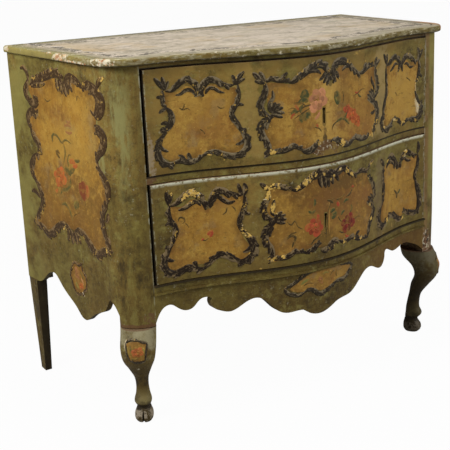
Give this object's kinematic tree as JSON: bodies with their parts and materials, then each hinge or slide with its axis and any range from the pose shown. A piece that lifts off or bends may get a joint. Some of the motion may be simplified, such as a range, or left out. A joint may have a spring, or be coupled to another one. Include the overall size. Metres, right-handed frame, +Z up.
{
  "type": "serpentine two-drawer chest",
  "caption": "Painted chest with a serpentine bowed front, long drawers with locks, a shaped apron, cabriole front legs with hoof feet and tapered rear legs.",
  "frame": {"origin": "on the floor, at the centre of the bounding box in plan", "axes": "+X to the right of someone facing the front, +Y from the front to the back, +Z up; the drawers open along -Y"},
  "size_m": [1.125, 0.612, 0.9],
  "materials": {
    "top_paint": "worn cream and grey-violet distemper over pine, with dark scroll bands",
    "case_paint": "worn olive green distemper under old wax",
    "drawer_paint": "worn olive green distemper with ochre panels in dark scroll frames",
    "leg_paint": "rubbed grey-green distemper",
    "bare_wood": "unpainted aged pine",
    "iron": "hand-forged iron with a thin brown rust"
  },
  "bodies": {
    "carcass": {"top_board": "top_paint", "left_side_panel": "case_paint", "right_side_panel": "case_paint", "left_corner_post": "case_paint", "right_corner_post": "case_paint", "top_front_rail": "case_paint", "middle_rail": "case_paint", "bottom_rail": "case_paint", "front_apron": "case_paint", "upper_bead": "case_paint", "lower_bead": "case_paint", "left_front_leg": "leg_paint", "right_front_leg": "leg_paint", "left_rear_leg": "leg_paint", "right_rear_leg": "leg_paint", "lower_back_board": "bare_wood", "middle_back_board": "bare_wood", "upper_back_board": "bare_wood", "bottom_board": "bare_wood", "dust_board": "bare_wood", "rear_bottom_rail": "bare_wood", "rear_top_rail": "bare_wood", "left_upper_runner": "bare_wood", "right_upper_runner": "bare_wood", "left_upper_guide": "bare_wood", "right_upper_guide": "bare_wood", "left_lower_runner": "bare_wood", "right_lower_runner": "bare_wood", "left_lower_guide": "bare_wood", "right_lower_guide": "bare_wood", "left_kicker": "bare_wood", "right_kicker": "bare_wood", "drawer_stops": "bare_wood", "glue_blocks": "bare_wood", "back_nails": "iron"},
    "upper_drawer": {"upper_drawer_front": "drawer_paint", "upper_drawer_left_side": "bare_wood", "upper_drawer_right_side": "bare_wood", "upper_drawer_back": "bare_wood", "upper_drawer_bottom": "bare_wood", "upper_lock_case": "iron", "upper_lock_screws": "iron"},
    "upper_bolt": {"upper_lock_bolt": "iron"},
    "lower_drawer": {"lower_drawer_front": "drawer_paint", "lower_drawer_left_side": "bare_wood", "lower_drawer_right_side": "bare_wood", "lower_drawer_back": "bare_wood", "lower_drawer_bottom": "bare_wood", "lower_lock_case": "iron", "lower_lock_screws": "iron"},
    "lower_bolt": {"lower_lock_bolt": "iron"}
  },
  "joints": [
    {"name": "upper_drawer_slide", "type": "slide", "parent": "carcass", "child": "upper_drawer", "axis": [0, -1, 0], "range_m": [0, 0.33]},
    {"name": "lower_drawer_slide", "type": "slide", "parent": "carcass", "child": "lower_drawer", "axis": [0, -1, 0], "range_m": [0, 0.33]},
    {"name": "upper_bolt_slide", "type": "slide", "parent": "upper_drawer", "child": "upper_bolt", "axis": [0, 0, 1], "range_m": [0, 0.008]},
    {"name": "lower_bolt_slide", "type": "slide", "parent": "lower_drawer", "child": "lower_bolt", "axis": [0, 0, 1], "range_m": [0, 0.008]}
  ]
}
